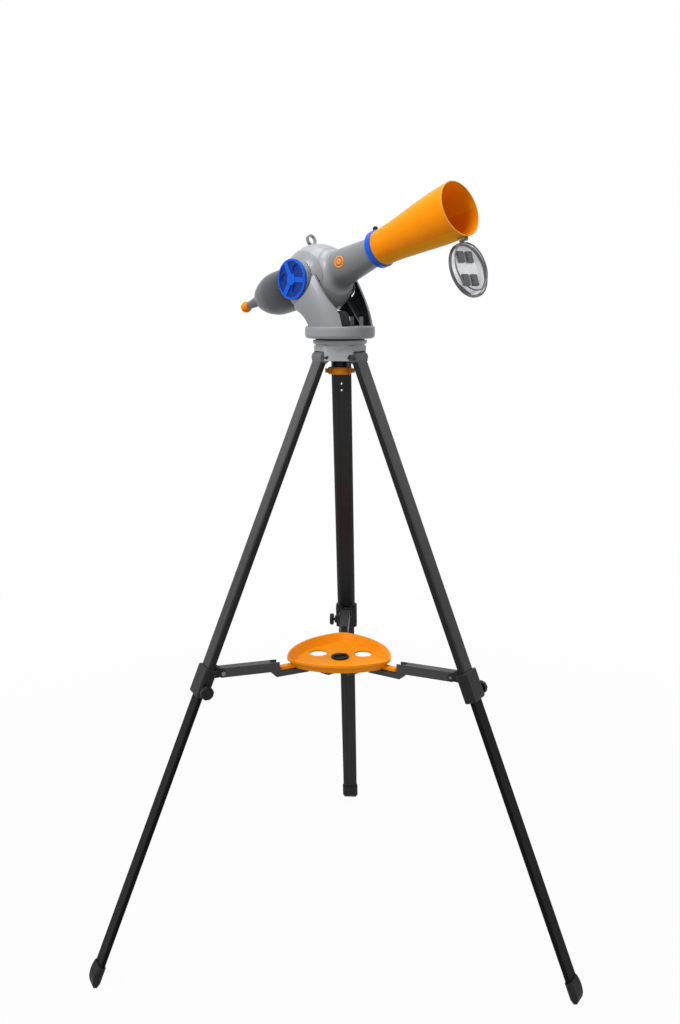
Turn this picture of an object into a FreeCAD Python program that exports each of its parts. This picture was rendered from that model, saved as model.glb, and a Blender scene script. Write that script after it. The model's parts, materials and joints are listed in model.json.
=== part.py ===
import FreeCAD, Part
import math
import os

# Telescope on a folding tripod. Millimetres, +Z up.
# The tripod is drawn about its pan axis; the whole object is then moved so that
# the middle of its footprint is the origin and its feet stand on z = 0.

# ---- tripod frame
HINGE_HEIGHT = 1040.0       # leg hinge pins above the ground line of the legs
HINGE_RADIUS = 36.0         # leg hinge pins from the pan axis
LEG_TILT = 22.6             # leg from the vertical, degrees
LEG_ANGLES = {"rear": 87.04, "left": 207.04, "right": 327.04}

# ---- fits
RUN = 0.3                   # between faces of bodies that slide or swing past each other
SHAFT_RUN = 0.05            # radial, a shaft turning in its bore

# ---- leg
LEG_WIDTH = 34.6            # upper tube, along the hinge pin
LEG_THICK = 12.6            # upper tube, radial
LEG_WALL = 1.8
LEG_CORNER = 5.5            # outside corner radius of the upper tube
LEG_TOP = 9.0               # top edge of the upper tube below the hinge pin
UPPER_LENGTH = 580.0        # hinge pin to the lower end of the upper tube
LOWER_WIDTH = LEG_WIDTH - 2 * LEG_WALL - 2 * RUN
LOWER_THICK = LEG_THICK - 2 * LEG_WALL - 2 * RUN
LOWER_WALL = 1.6
LOWER_CORNER = LEG_CORNER - LEG_WALL - RUN
LOWER_TOP = 500.0           # hinge pin to the upper end of the lower tube
LOWER_END = 1108.0          # hinge pin to the lower end of the lower tube
KNUCKLE_RADIUS = 9.0
RIVET_DROPS = (51.5, 64.0)  # rivets of the end piece below the hinge pin
PIN_RADIUS = 3.0
PIN_HEAD_RADIUS = 5.0
PIN_HALF = LEG_WIDTH / 2.0 + RUN + 3.0   # half the pin, through a 3 mm cheek each side
SLIDE_TRAVEL = 420.0

# ---- collar at the lower end of each upper tube
COLLAR_TOP = 552.0
COLLAR_LENGTH = 50.0
COLLAR_WIDTH = 42.0
COLLAR_THICK = 20.6
LOCK_DROP = 589.0           # hinge pin to the axis of the lock screw
LOCK_HEAD_RADIUS = 11.5
LOCK_HEAD_THICK = 8.0
LOCK_REACH = 34.0           # leg centre to the outer face of the lock knob
LOCK_SCREW_RADIUS = 3.0

# ---- foot
FOOT_TOP = 1085.0
FOOT_LENGTH = 37.0
FOOT_WIDTH = 33.6
FOOT_WALL = 2.0             # rubber over the flat faces of the tube

# ---- spreader
ARM_OUTER_RADIUS = 226.0    # bracket pin from the pan axis
ARM_OUTER_HEIGHT = 518.5
ARM_INNER_RADIUS = 34.0     # hub pivot from the pan axis
ARM_INNER_HEIGHT = 496.0
ARM_WIDTH = 17.0
ARM_DEPTH = 16.5
ARM_FALL = 6.2              # how much lower the outer run is at its inner end
ARM_STEP = 121.0            # inner end of the outer run, from the pan axis
TONGUE_WIDTH = 8.2
TONGUE_ROOT = 67.0          # where the tongue widens into the arm
ARM_PIN_RADIUS = 2.5
HUB_TOP = 504.0
HUB_THICK = 16.0
HUB_RADIUS = 43.0
HUB_CORE = 10.5
FOLD_TILT = 16.0            # leg from the vertical when the tray stops the fold

# ---- tray
TRAY_FLOOR = 507.0          # upper face of the tray floor
TRAY_RIM = 521.0
TRAY_CORNER_CENTRE = 76.0
TRAY_CORNER_RADIUS = 25.0
TRAY_SIDE = 83.5            # middle of each side from the axis
TRAY_DRAFT = 10.5           # how far the wall leans in from the rim to the floor
LUG_END = 118.0             # tip of the lug at each corner, from the axis
LUG_NOTCH = 15.0
TRAY_WALL = 3.0
EYEPIECE_HOLE = 32.5        # takes a 31.7 mm eyepiece barrel
EYEPIECE_HOLE_PLACE = 46.8
EYEPIECE_HOLE_ANGLES = (60.0, -60.0)
TRAY_BOLT_RADIUS = 4.0
TRAY_KNOB_RADIUS = 16.0

# ---- head
HEAD_TOP = 1068.0
NECK_RADIUS = 45.4
HUB_FACE = 38.0             # front faces of the head from the axis
HUB_FACE_HALF = 22.5
PAN_SHAFT_RADIUS = 8.0
WASHER_THICK = 3.0
FLANGE_RADIUS = 58.7
FLANGE_BOTTOM = 1071.0
FLANGE_TOP = 1091.0
CLAMP_TOP = 1023.0
CLAMP_BOTTOM = 1011.0
CLAMP_RADIUS = 20.4

# ---- fork
PAN_REST = 44.7             # telescope heading, clockwise from +X, degrees
PIVOT_HEIGHT = 1167.3
PIVOT_BACK = 50.5           # tilt axis behind the pan axis
BALL_RADIUS = 59.4
FORK_HALF_GAP = 37.0
FORK_FACE = 51.0            # flat outer face of each cheek from the middle plane
ARM_SKIN = 3.0              # wall of the moulded arms
ARM_FOOT_RADIUS = 55.5
BOSS_RADIUS = 34.0          # grey boss under the tilt knob
TILT_SHAFT_RADIUS = 5.0
KNOB_RADIUS = 33.6
KNOB_INNER = 59.0
KNOB_OUTER = 64.0
FORK_SCREW_RADIUS = 2.0
FORK_SCREW_HEAD = 3.6
FORK_SCREW_BITE = 12.0      # how far each screw reaches into its arm
FORK_SCREW_PLACES = ((-8.0, -43.0), (14.0, -43.0), (-8.0, 43.0), (14.0, 43.0))

# ---- telescope
TILT_REST = 18.3            # elevation, degrees
SHELL = 2.5
TUBE_START_RADIUS = 31.5
TUBE_END = 142.0
TUBE_END_RADIUS = 22.5
RING_LENGTH = 11.5
RING_RADIUS = 30.5
HOOD_START_RADIUS = 28.5
HOOD_MOUTH = 315.0
HOOD_MOUTH_RADIUS = 42.5
HOOD_WALL = 2.0
LENS_RADIUS = 26.0
EYE_OFFSET = 15.9           # eyepiece axis above the objective axis
BULB_FRONT = -36.0
BULB_REAR = -153.0
BULB_FRONT_RADIUS = 35.2
BULB_REAR_RADIUS = 13.6
BULB_LEAN = 5.8             # fall of the bulb's own axis to the front, degrees
BARREL_RADIUS = 8.6
EYE_TRAVEL = 12.0
CAP_RADIUS = 41.9
CAP_HINGE_ALONG = 312.0
CAP_HINGE_DROP = 45.4
CAP_CENTRE_DROP = 90.8
CAP_PIN_RADIUS = 1.1
CAP_DEPTH = 5.2
CAP_SEAT = 0.4              # closed cap to the lip of the hood
LIP_THICK = 1.4
SEAT = 0.05                 # between faces that are pressed or glued together


# ---- helpers
def vec(x, y, z):
    return FreeCAD.Vector(x, y, z)


def rod(radius, low, high, axis="z", at=(0.0, 0.0)):
    """Cylinder along an axis from low to high; at gives the other two coordinates in order."""
    if axis == "x":
        return Part.makeCylinder(radius, high - low, vec(low, at[0], at[1]), vec(1, 0, 0))
    if axis == "y":
        return Part.makeCylinder(radius, high - low, vec(at[0], low, at[1]), vec(0, 1, 0))
    return Part.makeCylinder(radius, high - low, vec(at[0], at[1], low), vec(0, 0, 1))


def block(x0, x1, y0, y1, z0, z1):
    return Part.makeBox(x1 - x0, y1 - y0, z1 - z0, vec(x0, y0, z0))


def ring(outer, inner, low, high, axis="z", at=(0.0, 0.0)):
    return rod(outer, low, high, axis, at).cut(rod(inner, low - 1, high + 1, axis, at))


def fused(shapes):
    whole = shapes[0]
    if len(shapes) > 1:
        whole = whole.multiFuse(list(shapes[1:]))
    return whole.removeSplitter()


def face_of(points):
    corners = [vec(*p) for p in points]
    return Part.Face(Part.makePolygon(corners + corners[:1]))


def slab(points, y0, y1):
    """Extrude an x, z outline along y."""
    return face_of([(x, y0, z) for x, z in points]).extrude(vec(0, y1 - y0, 0))


def plate(points, z0, z1):
    """Extrude an x, y outline along z."""
    return face_of([(x, y, z0) for x, y in points]).extrude(vec(0, 0, z1 - z0))


def lathe_x(points):
    """Revolve an along, radius outline about the x axis."""
    return face_of([(a, 0.0, r) for a, r in points]).revolve(vec(0, 0, 0), vec(1, 0, 0), 360)


def lathe_z(points):
    """Revolve a radius, height outline about the z axis."""
    return face_of([(r, 0.0, h) for r, h in points]).revolve(vec(0, 0, 0), vec(0, 0, 1), 360)


def curved_outline(start, steps):
    """Closed outline in the x, z plane: a step of two numbers is a line, one of four an arc through a point."""
    edges = []
    here = vec(start[0], 0, start[1])
    for step in steps:
        end = vec(step[-2], 0, step[-1])
        if len(step) == 4:
            edges.append(Part.Arc(here, vec(step[0], 0, step[1]), end).toShape())
        else:
            edges.append(Part.LineSegment(here, end).toShape())
        here = end
    edges.append(Part.LineSegment(here, vec(start[0], 0, start[1])).toShape())
    return Part.Face(Part.Wire(edges))


def lathe_curved(start, steps):
    """Revolve an outline of lines and arcs about the x axis."""
    return curved_outline(start, steps).revolve(vec(0, 0, 0), vec(1, 0, 0), 360)


def bevelled(shape, size, test):
    """Chamfer the edges whose middle point passes the test."""
    chosen = []
    for edge in shape.Edges:
        middle = edge.valueAt((edge.FirstParameter + edge.LastParameter) / 2.0)
        if test(edge, middle):
            chosen.append(edge)
    return shape.makeChamfer(size, chosen) if chosen else shape


def rounded(shape, radius, test):
    """Fillet the edges whose middle point passes the test."""
    chosen = []
    for edge in shape.Edges:
        middle = edge.valueAt((edge.FirstParameter + edge.LastParameter) / 2.0)
        if test(edge, middle):
            chosen.append(edge)
    if not chosen:
        return shape
    return shape.makeFillet(radius, chosen)


def along_z(edge):
    a = edge.valueAt(edge.FirstParameter)
    b = edge.valueAt(edge.LastParameter)
    return abs(a.z - b.z) > 0.9 * (b - a).Length > 0.1


def round_bar(thick, width, radius, z0, z1, x=0.0, y=0.0):
    """Upright bar, thick along x and wide along y, with rounded long edges."""
    bar = block(x - thick / 2.0, x + thick / 2.0, y - width / 2.0, y + width / 2.0, z0, z1)
    return rounded(bar, radius, lambda e, m: along_z(e))


def turned(shape, degrees, axis=(0, 0, 1), at=(0, 0, 0)):
    copy = shape.copy()
    copy.rotate(vec(*at), vec(*axis), degrees)
    return copy


def shifted(shape, x, y, z):
    copy = shape.copy()
    copy.translate(vec(x, y, z))
    return copy


# ---- leg, drawn hanging straight down from its hinge pin, +X outward, pin along Y
def upper_tube():
    """Flat-sided tube with round edges and a shallow channel along its inner side."""
    outer = round_bar(LEG_THICK, LEG_WIDTH, LEG_CORNER, -UPPER_LENGTH, -LEG_TOP)
    inner_corner = LEG_CORNER - LEG_WALL
    bore = round_bar(LEG_THICK - 2 * LEG_WALL, LEG_WIDTH - 2 * LEG_WALL, inner_corner, -UPPER_LENGTH - 1, -LEG_TOP + 1)
    tube = outer.cut(bore)
    half = LEG_THICK / 2.0
    return tube.cut(block(-half - 1, -half + 0.9, -6.0, 6.0, -UPPER_LENGTH - 1, -LEG_TOP + 1))


def leg_knuckle():
    """Moulded end piece: hinge barrel above, plug inside the tube below."""
    barrel = rod(KNUCKLE_RADIUS, -LEG_WIDTH / 2.0, LEG_WIDTH / 2.0, "y")
    neck = block(-LEG_THICK / 2.0 + 0.6, LEG_THICK / 2.0 - 0.6, -LEG_WIDTH / 2.0, LEG_WIDTH / 2.0, -LEG_TOP, -2.0)
    plug_end = -RIVET_DROPS[1] - 8.0
    plug = round_bar(LEG_THICK - 2 * LEG_WALL, LEG_WIDTH - 2 * LEG_WALL, LEG_CORNER - LEG_WALL, plug_end, -LEG_TOP)
    piece = fused([barrel, neck, plug])
    return piece.cut(rod(PIN_RADIUS + SHAFT_RUN, -LEG_WIDTH, LEG_WIDTH, "y"))


def leg_rivets():
    """Two rivet heads holding the end piece, one above the other in the channel."""
    heads = []
    face = -LEG_THICK / 2.0 + 0.9
    for drop in RIVET_DROPS:
        heads.append(Part.makeCone(1.9, 0.9, 1.1, vec(face, 0, -drop), vec(-1, 0, 0)))
    return Part.makeCompound(heads)


def lower_tube():
    outer = round_bar(LOWER_THICK, LOWER_WIDTH, LOWER_CORNER, -LOWER_END, -LOWER_TOP)
    corner = LOWER_CORNER - LOWER_WALL
    bore = round_bar(LOWER_THICK - 2 * LOWER_WALL, LOWER_WIDTH - 2 * LOWER_WALL, corner, -LOWER_END - 1, -LOWER_TOP + 1)
    tube = outer.cut(bore)
    half = LOWER_THICK / 2.0
    return tube.cut(block(-half - 1, -half + 0.7, -5.0, 5.0, -LOWER_END - 1, -LOWER_TOP + 1))


def bracket_place():
    """Bracket pin seen in the hanging leg: inward of the leg line, and down from the hinge."""
    tilt = math.radians(LEG_TILT)
    out = ARM_OUTER_RADIUS - HINGE_RADIUS
    down = HINGE_HEIGHT - ARM_OUTER_HEIGHT
    along = out * math.sin(tilt) + down * math.cos(tilt)
    inward = down * math.sin(tilt) - out * math.cos(tilt)
    return inward, along


def collar():
    """Moulded sleeve: grips the upper tube, guides the lower one, carries screw boss and arm ears."""
    bottom = COLLAR_TOP + COLLAR_LENGTH
    body = round_bar(COLLAR_THICK, COLLAR_WIDTH, 5.0, -bottom, -COLLAR_TOP)
    body = bevelled(body, 1.6, lambda e, m: abs(m.z + COLLAR_TOP) < 0.01 or abs(m.z + bottom) < 0.01)
    boss = rod(7.5, COLLAR_WIDTH / 2.0 - 2.5, COLLAR_WIDTH / 2.0 + 3.0, "y", (0.0, -LOCK_DROP))
    inward, along = bracket_place()
    ear_outline = [(-8.0, -along + 9.0), (-8.0, -along - 13.0), (-inward - 1.0, -along - 5.5), (-inward, -along + 5.5)]
    ears = []
    for side in (-1, 1):
        y0 = side * (ARM_WIDTH / 2.0 + RUN)
        y1 = side * (ARM_WIDTH / 2.0 + RUN + 3.2)
        ear = slab(ear_outline, min(y0, y1), max(y0, y1))
        nose = rod(5.5, min(y0, y1), max(y0, y1), "y", (-inward, -along))
        ears.append(ear.fuse(nose))
    piece = fused([body, boss] + ears)
    seat = round_bar(LEG_THICK, LEG_WIDTH, LEG_CORNER, -UPPER_LENGTH, -COLLAR_TOP + 1)
    guide = round_bar(LOWER_THICK + 2 * RUN, LOWER_WIDTH + 2 * RUN, LOWER_CORNER + RUN, -bottom - 1, -COLLAR_TOP)
    piece = piece.cut(seat).cut(guide)
    piece = piece.cut(rod(LOCK_SCREW_RADIUS + SHAFT_RUN, 0.0, COLLAR_WIDTH, "y", (0.0, -LOCK_DROP)))
    return piece.cut(rod(ARM_PIN_RADIUS, -COLLAR_WIDTH, COLLAR_WIDTH, "y", (-inward, -along)))


def arm_pin():
    """Pin through the collar ears and the outer end of the spreader arm."""
    inward, along = bracket_place()
    end = ARM_WIDTH / 2.0 + RUN + 3.2
    pin = rod(ARM_PIN_RADIUS, -end, end, "y", (-inward, -along))
    head = rod(ARM_PIN_RADIUS + 1.5, end, end + 1.2, "y", (-inward, -along))
    return fused([pin, head])


def leg_lock():
    """Thumb screw with a ribbed head on the side of the collar."""
    tip = LOWER_WIDTH / 2.0 + RUN
    screw = rod(LOCK_SCREW_RADIUS, tip, LOCK_REACH - 1.0, "y", (0.0, -LOCK_DROP))
    head = rod(LOCK_HEAD_RADIUS, LOCK_REACH - LOCK_HEAD_THICK, LOCK_REACH, "y", (0.0, -LOCK_DROP))
    head = bevelled(head, 1.3, lambda e, m: e.Length > 60)
    for step in range(9):
        angle = math.radians(40.0 * step)
        x = (LOCK_HEAD_RADIUS + 1.6) * math.sin(angle)
        z = (LOCK_HEAD_RADIUS + 1.6) * math.cos(angle)
        head = head.cut(rod(2.6, LOCK_REACH - LOCK_HEAD_THICK - 1, LOCK_REACH + 1, "y", (x, z - LOCK_DROP)))
    return fused([screw, head])


def foot_boot():
    """Rubber boot: flush with the tube inside, bulging a little outside, with a round toe."""
    bottom = FOOT_TOP + FOOT_LENGTH
    flush = LOWER_THICK / 2.0 + FOOT_WALL
    belly = (flush + 2.4, -FOOT_TOP - 17.0, flush + 0.4, -bottom + 7.0)
    steps = [(flush, -FOOT_TOP), belly, (flush - 3.0, -bottom), (-3.0, -bottom), (-flush, -bottom + 8.0)]
    boot = curved_outline((-flush, -FOOT_TOP), steps).extrude(vec(0, FOOT_WIDTH, 0))
    boot = shifted(boot, 0, -FOOT_WIDTH / 2.0, 0)
    boot = bevelled(boot, 4.0, lambda e, m: abs(abs(m.y) - FOOT_WIDTH / 2.0) < 0.01 and m.z < -FOOT_TOP - 0.5)
    socket = round_bar(LOWER_THICK, LOWER_WIDTH, LOWER_CORNER, -LOWER_END, -FOOT_TOP + 1)
    return boot.cut(socket)


# ---- spreader, drawn with the arm along +X
def spreader_arm():
    """Channel arm: deep outer run, a step down beside the tray, a flat run under it, a tongue into the hub."""
    top = ARM_OUTER_HEIGHT + ARM_DEPTH / 2.0
    low = ARM_OUTER_HEIGHT - ARM_DEPTH / 2.0
    inner_top = HUB_TOP - 1.2
    inner_low = inner_top - 8.6
    end = ARM_OUTER_RADIUS
    root = TONGUE_ROOT - 2.0
    step_top = top - ARM_FALL
    outline = [(end + 2.5, top), (ARM_STEP, step_top), (ARM_STEP, inner_top), (root, inner_top), (root, inner_low),
               (ARM_STEP + 6.0, inner_low), (ARM_STEP + 17.0, low - ARM_FALL + 1.0), (end + 2.5, low),
               (end + 5.2, low + 3.5), (end + 5.2, top - 3.5)]
    half = ARM_WIDTH / 2.0
    arm = slab(outline, -half, half)
    # channel open below, and a notch in its roof where the lug of the tray passes
    hollow = [(end - 10.0, top - 2.8), (ARM_STEP + 2.4, step_top - 2.4), (ARM_STEP + 2.4, inner_top - 2.2), (TONGUE_ROOT + 14.0, inner_top - 2.2),
              (TONGUE_ROOT + 14.0, inner_low - 1.0), (end - 10.0, low - ARM_FALL - 5.0)]
    arm = arm.cut(slab(hollow, -half + 2.2, half - 2.2))
    arm = arm.cut(block(ARM_STEP - 1, ARM_STEP + LUG_NOTCH, -half + 2.2, half - 2.2, inner_top, step_top + 3.0))
    pivot = ARM_INNER_RADIUS
    tongue_outline = [(pivot, ARM_INNER_HEIGHT + 3.8), (TONGUE_ROOT, inner_top), (TONGUE_ROOT, inner_low), (pivot, ARM_INNER_HEIGHT - 3.8)]
    tongue = slab(tongue_outline, -TONGUE_WIDTH / 2.0, TONGUE_WIDTH / 2.0)
    nose = rod(3.8, -TONGUE_WIDTH / 2.0, TONGUE_WIDTH / 2.0, "y", (pivot, ARM_INNER_HEIGHT))
    arm = fused([arm, tongue, nose])
    return arm.cut(rod(ARM_PIN_RADIUS + SHAFT_RUN, -half - 1, half + 1, "y", (end, ARM_OUTER_HEIGHT)))


def spreader_hub():
    """Three-lobed hub with a channel for each arm tongue."""
    hub = rod(HUB_RADIUS, HUB_TOP - HUB_THICK, HUB_TOP)
    hub = hub.fuse(rod(13.0, HUB_TOP - HUB_THICK - 6.0, HUB_TOP - HUB_THICK))
    for angle in LEG_ANGLES.values():
        channel = block(HUB_CORE, HUB_RADIUS + 5, -TONGUE_WIDTH / 2.0 - 0.5, TONGUE_WIDTH / 2.0 + 0.5,
                        HUB_TOP - HUB_THICK - 1, HUB_TOP + 1)
        hub = hub.cut(turned(channel, angle))
        relief = rod(EYEPIECE_HOLE / 2.0 + 2.0, HUB_TOP - HUB_THICK - 1, HUB_TOP + 1, "z", (EYEPIECE_HOLE_PLACE, 0.0))
        hub = hub.cut(turned(relief, angle + 60.0))
    return hub.cut(rod(TRAY_BOLT_RADIUS, HUB_TOP - HUB_THICK - 7, HUB_TOP + 1)).removeSplitter()


def tray_outline(inset, height):
    """Rounded triangle with bulging sides: three corner arcs joined by three long arcs that touch them."""
    radius = TRAY_CORNER_RADIUS - inset
    side = TRAY_SIDE - inset
    # the long arc's centre lies beyond the axis, where its circle touches both corner circles from outside
    gap = side - radius
    beyond = (TRAY_CORNER_CENTRE ** 2 - gap ** 2) / (2.0 * gap - TRAY_CORNER_CENTRE)
    reach = math.radians(60.0) - math.atan2(TRAY_CORNER_CENTRE * math.sin(math.radians(60.0)), TRAY_CORNER_CENTRE / 2.0 + beyond)
    edges = []
    for corner in (LEG_ANGLES["rear"], LEG_ANGLES["left"], LEG_ANGLES["right"]):
        a = math.radians(corner)
        b = a + math.radians(120.0)
        middle = a + math.radians(60.0)
        centre = vec(TRAY_CORNER_CENTRE * math.cos(a), TRAY_CORNER_CENTRE * math.sin(a), height)
        after = vec(TRAY_CORNER_CENTRE * math.cos(b), TRAY_CORNER_CENTRE * math.sin(b), height)
        p0 = centre + vec(radius * math.cos(a - reach), radius * math.sin(a - reach), 0)
        p1 = centre + vec(radius * math.cos(a), radius * math.sin(a), 0)
        p2 = centre + vec(radius * math.cos(a + reach), radius * math.sin(a + reach), 0)
        q0 = after + vec(radius * math.cos(b - reach), radius * math.sin(b - reach), 0)
        edges.append(Part.Arc(p0, p1, p2).toShape())
        edges.append(Part.Arc(p2, vec(side * math.cos(middle), side * math.sin(middle), height), q0).toShape())
    return Part.Wire(edges)


def tray_bowl(low_inset, low, high_inset, high):
    """Solid between two outlines, the lower one drawn in."""
    return Part.makeLoft([tray_outline(low_inset, low), tray_outline(high_inset, high)], True, True)


def accessory_tray():
    """Dished tray with leaning walls, two eyepiece holes, a bolt hole and a lug at each corner."""
    rim_low = TRAY_RIM - 4.0
    outside = tray_bowl(TRAY_DRAFT, HUB_TOP, 1.2, rim_low).fuse(tray_bowl(0.0, rim_low, 0.0, TRAY_RIM))
    inside = tray_bowl(TRAY_DRAFT + TRAY_WALL - 0.6, TRAY_FLOOR, TRAY_WALL, TRAY_RIM + 0.01)
    dish = outside.cut(inside)
    lugs = []
    for angle in LEG_ANGLES.values():
        lug = block(TRAY_CORNER_CENTRE + 12.0, LUG_END, -5.5, 5.5, HUB_TOP + 1.0, HUB_TOP + 6.5)
        lug = bevelled(lug, 2.0, lambda e, m: along_z(e) and m.x > LUG_END - 1)
        lugs.append(turned(lug, angle))
    dish = fused([dish] + lugs)
    dish = dish.cut(inside)
    for angle in EYEPIECE_HOLE_ANGLES:
        hole = rod(EYEPIECE_HOLE / 2.0, HUB_TOP - 5, TRAY_FLOOR + 5, "z", (EYEPIECE_HOLE_PLACE, 0.0))
        dish = dish.cut(turned(hole, LEG_ANGLES["rear"] + angle))
    return dish.cut(rod(TRAY_BOLT_RADIUS + SHAFT_RUN, HUB_TOP - 5, TRAY_FLOOR + 5))


def tray_knob():
    """Low round knob with a finger bar; its bolt holds the tray to the hub."""
    disc = rod(TRAY_KNOB_RADIUS, TRAY_FLOOR + 0.2, TRAY_FLOOR + 3.6)
    disc = bevelled(disc, 1.0, lambda e, m: abs(m.z - TRAY_FLOOR - 3.6) < 0.01)
    bar = block(-12.5, 12.5, -2.6, 2.6, TRAY_FLOOR + 3.0, TRAY_FLOOR + 6.5)
    bar = bevelled(bar, 1.0, lambda e, m: m.z > TRAY_FLOOR + 3.2)
    bolt = rod(TRAY_BOLT_RADIUS - SHAFT_RUN, HUB_TOP - HUB_THICK - 2.0, TRAY_FLOOR + 1.0)
    return fused([disc, bar, bolt])


# ---- tripod head
def hexagon(face, half):
    """Corners of the head: three faces between the legs, three narrower faces at the legs."""
    corners = []
    for angle in sorted(LEG_ANGLES.values()):
        middle = math.radians(angle + 60.0)
        for side in (-1, 1):
            x = face * math.cos(middle) - side * half * math.sin(middle)
            y = face * math.sin(middle) + side * half * math.cos(middle)
            corners.append((x, y))
    return corners


def tripod_head():
    """Cast head: three leg slots below, round neck above, bore for the pan shaft."""
    low = HINGE_HEIGHT - 5.4
    mid = HINGE_HEIGHT + KNUCKLE_RADIUS + 1.0
    body = plate(hexagon(HUB_FACE, HUB_FACE_HALF), low, HEAD_TOP - 9.0)
    body = rounded(body, 3.0, lambda e, m: along_z(e))
    neck = lathe_z([(0, mid), (38.0, mid), (41.0, HEAD_TOP - 8.0), (NECK_RADIUS, HEAD_TOP - 5.0), (NECK_RADIUS, HEAD_TOP), (0, HEAD_TOP)])
    body = fused([body, neck])
    for angle in LEG_ANGLES.values():
        half = LEG_WIDTH / 2.0 + RUN
        slot = block(HINGE_RADIUS - KNUCKLE_RADIUS - 1.5, 80.0, -half, half, low - 1, mid)
        body = body.cut(turned(slot, angle))
        bore = rod(PIN_RADIUS, -40, 40, "y", (HINGE_RADIUS, HINGE_HEIGHT))
        body = body.cut(turned(bore, angle))
        seat = rod(PIN_HEAD_RADIUS + RUN, -60, -PIN_HALF, "y", (HINGE_RADIUS, HINGE_HEIGHT))
        body = body.cut(turned(seat, angle))
    return body.cut(rod(PAN_SHAFT_RADIUS + SHAFT_RUN, low - 1, HEAD_TOP + 1))


def leg_hinge_pin():
    """One hinge pin along Y through a leg slot, screw head on the near side of the cheek."""
    pin = rod(PIN_RADIUS, -PIN_HALF, PIN_HALF, "y", (HINGE_RADIUS, HINGE_HEIGHT))
    head = rod(PIN_HEAD_RADIUS, -PIN_HALF - 1.6, -PIN_HALF, "y", (HINGE_RADIUS, HINGE_HEIGHT))
    return fused([pin, head])


def leg_hinge_pins():
    pins = [turned(leg_hinge_pin(), angle) for angle in LEG_ANGLES.values()]
    return pins


def pan_washer():
    return ring(NECK_RADIUS - 4.0, PAN_SHAFT_RADIUS + 1.0, HEAD_TOP, HEAD_TOP + WASHER_THICK - 0.2)


def fork_base():
    """Turntable of the fork with its shaft down through the head."""
    disc = lathe_z([(0, FLANGE_BOTTOM), (FLANGE_RADIUS - 5.0, FLANGE_BOTTOM), (FLANGE_RADIUS - 1.5, FLANGE_BOTTOM + 1.5),
                    (FLANGE_RADIUS, FLANGE_BOTTOM + 5.0), (FLANGE_RADIUS, FLANGE_TOP - 5.0),
                    (FLANGE_RADIUS - 0.6, FLANGE_TOP - 1.4), (FLANGE_RADIUS - 2.0, FLANGE_TOP), (0, FLANGE_TOP)])
    shaft = rod(PAN_SHAFT_RADIUS, CLAMP_TOP + RUN, FLANGE_BOTTOM + 1.0)
    base = fused([disc, shaft])
    for x, y in FORK_SCREW_PLACES:
        base = base.cut(rod(FORK_SCREW_RADIUS, FLANGE_BOTTOM - 1, FLANGE_TOP + 1, "z", (x, y)))
        base = base.cut(rod(FORK_SCREW_HEAD, FLANGE_BOTTOM - 1, FLANGE_BOTTOM + 3.0, "z", (x, y)))
    return base


def pan_clamp():
    """Orange clamp knob with two side tabs and a dark collar above it, on the pan shaft."""
    knob = rod(CLAMP_RADIUS, CLAMP_BOTTOM, CLAMP_TOP)
    knob = bevelled(knob, 1.6, lambda e, m: e.Length > 60)
    tabs = block(-25.0, 25.0, -4.0, 4.0, CLAMP_BOTTOM + 2.5, CLAMP_TOP - 2.5)
    tabs = bevelled(tabs, 1.4, lambda e, m: along_z(e))
    return fused([knob, tabs])


def clamp_collar():
    low = CLAMP_TOP
    high = HINGE_HEIGHT - 5.4 - RUN
    return lathe_z([(PAN_SHAFT_RADIUS + SHAFT_RUN, low), (14.5, low), (14.5, high - 2.0), (13.0, high), (PAN_SHAFT_RADIUS + SHAFT_RUN, high)])


# ---- fork arms, drawn with the telescope heading along +X, near side at -Y
# Side outlines of an arm below the ball, as along, height pairs.
ARM_FRONT = ((-11.8, 1174.0), (-1.6, 1159.0), (13.1, 1138.3), (29.5, 1117.7), (38.5, 1105.0), (44.5, FLANGE_TOP))
ARM_REAR = ((-24.0, FLANGE_TOP), (-25.0, 1098.0), (-28.5, 1104.5), (-35.0, 1110.0), (-45.0, 1115.0), (-57.0, 1119.0))


def arm_hull(inset):
    """Bulging form that runs from the ball down to the turntable, shrunk by the inset."""
    lean = math.atan2(PIVOT_BACK, PIVOT_HEIGHT - FLANGE_TOP)
    centre = vec(-PIVOT_BACK, 0, PIVOT_HEIGHT)
    down = vec(math.sin(lean), 0, -math.cos(lean))
    upper = Part.Wire([Part.makeCircle(BALL_RADIUS + 0.5 - inset, centre, down)])
    middle_spot = centre + down * 48.0
    middle = Part.Wire([Part.makeCircle(BALL_RADIUS + 1.2 - inset, middle_spot, vec(math.sin(lean * 0.45), 0, -math.cos(lean * 0.45)))])
    lower = Part.Wire([Part.makeCircle(ARM_FOOT_RADIUS - inset, vec(0, 0, FLANGE_TOP), vec(0, 0, -1))])
    skirt = Part.makeLoft([upper, middle, lower], True, False)
    return skirt


def arm_outline_face():
    """Side outline of an arm, from the rear edge round the ball's flank to the front edge."""
    inner = FORK_HALF_GAP
    rear = Part.BSplineCurve()
    rear.interpolate([vec(x, inner, z) for x, z in ARM_REAR])
    front = Part.BSplineCurve()
    front.interpolate([vec(x, inner, z) for x, z in ARM_FRONT])
    start = vec(ARM_REAR[-1][0], inner, ARM_REAR[-1][1])
    finish = vec(ARM_FRONT[0][0], inner, ARM_FRONT[0][1])
    over = vec(-PIVOT_BACK + 18.0, inner, PIVOT_HEIGHT - 14.0)
    edges = [rear.toShape(), Part.Arc(start, over, finish).toShape(), front.toShape()]
    edges.append(Part.LineSegment(vec(ARM_FRONT[-1][0], inner, FLANGE_TOP), vec(ARM_REAR[0][0], inner, FLANGE_TOP)).toShape())
    return Part.Face(Part.Wire(edges))


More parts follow.
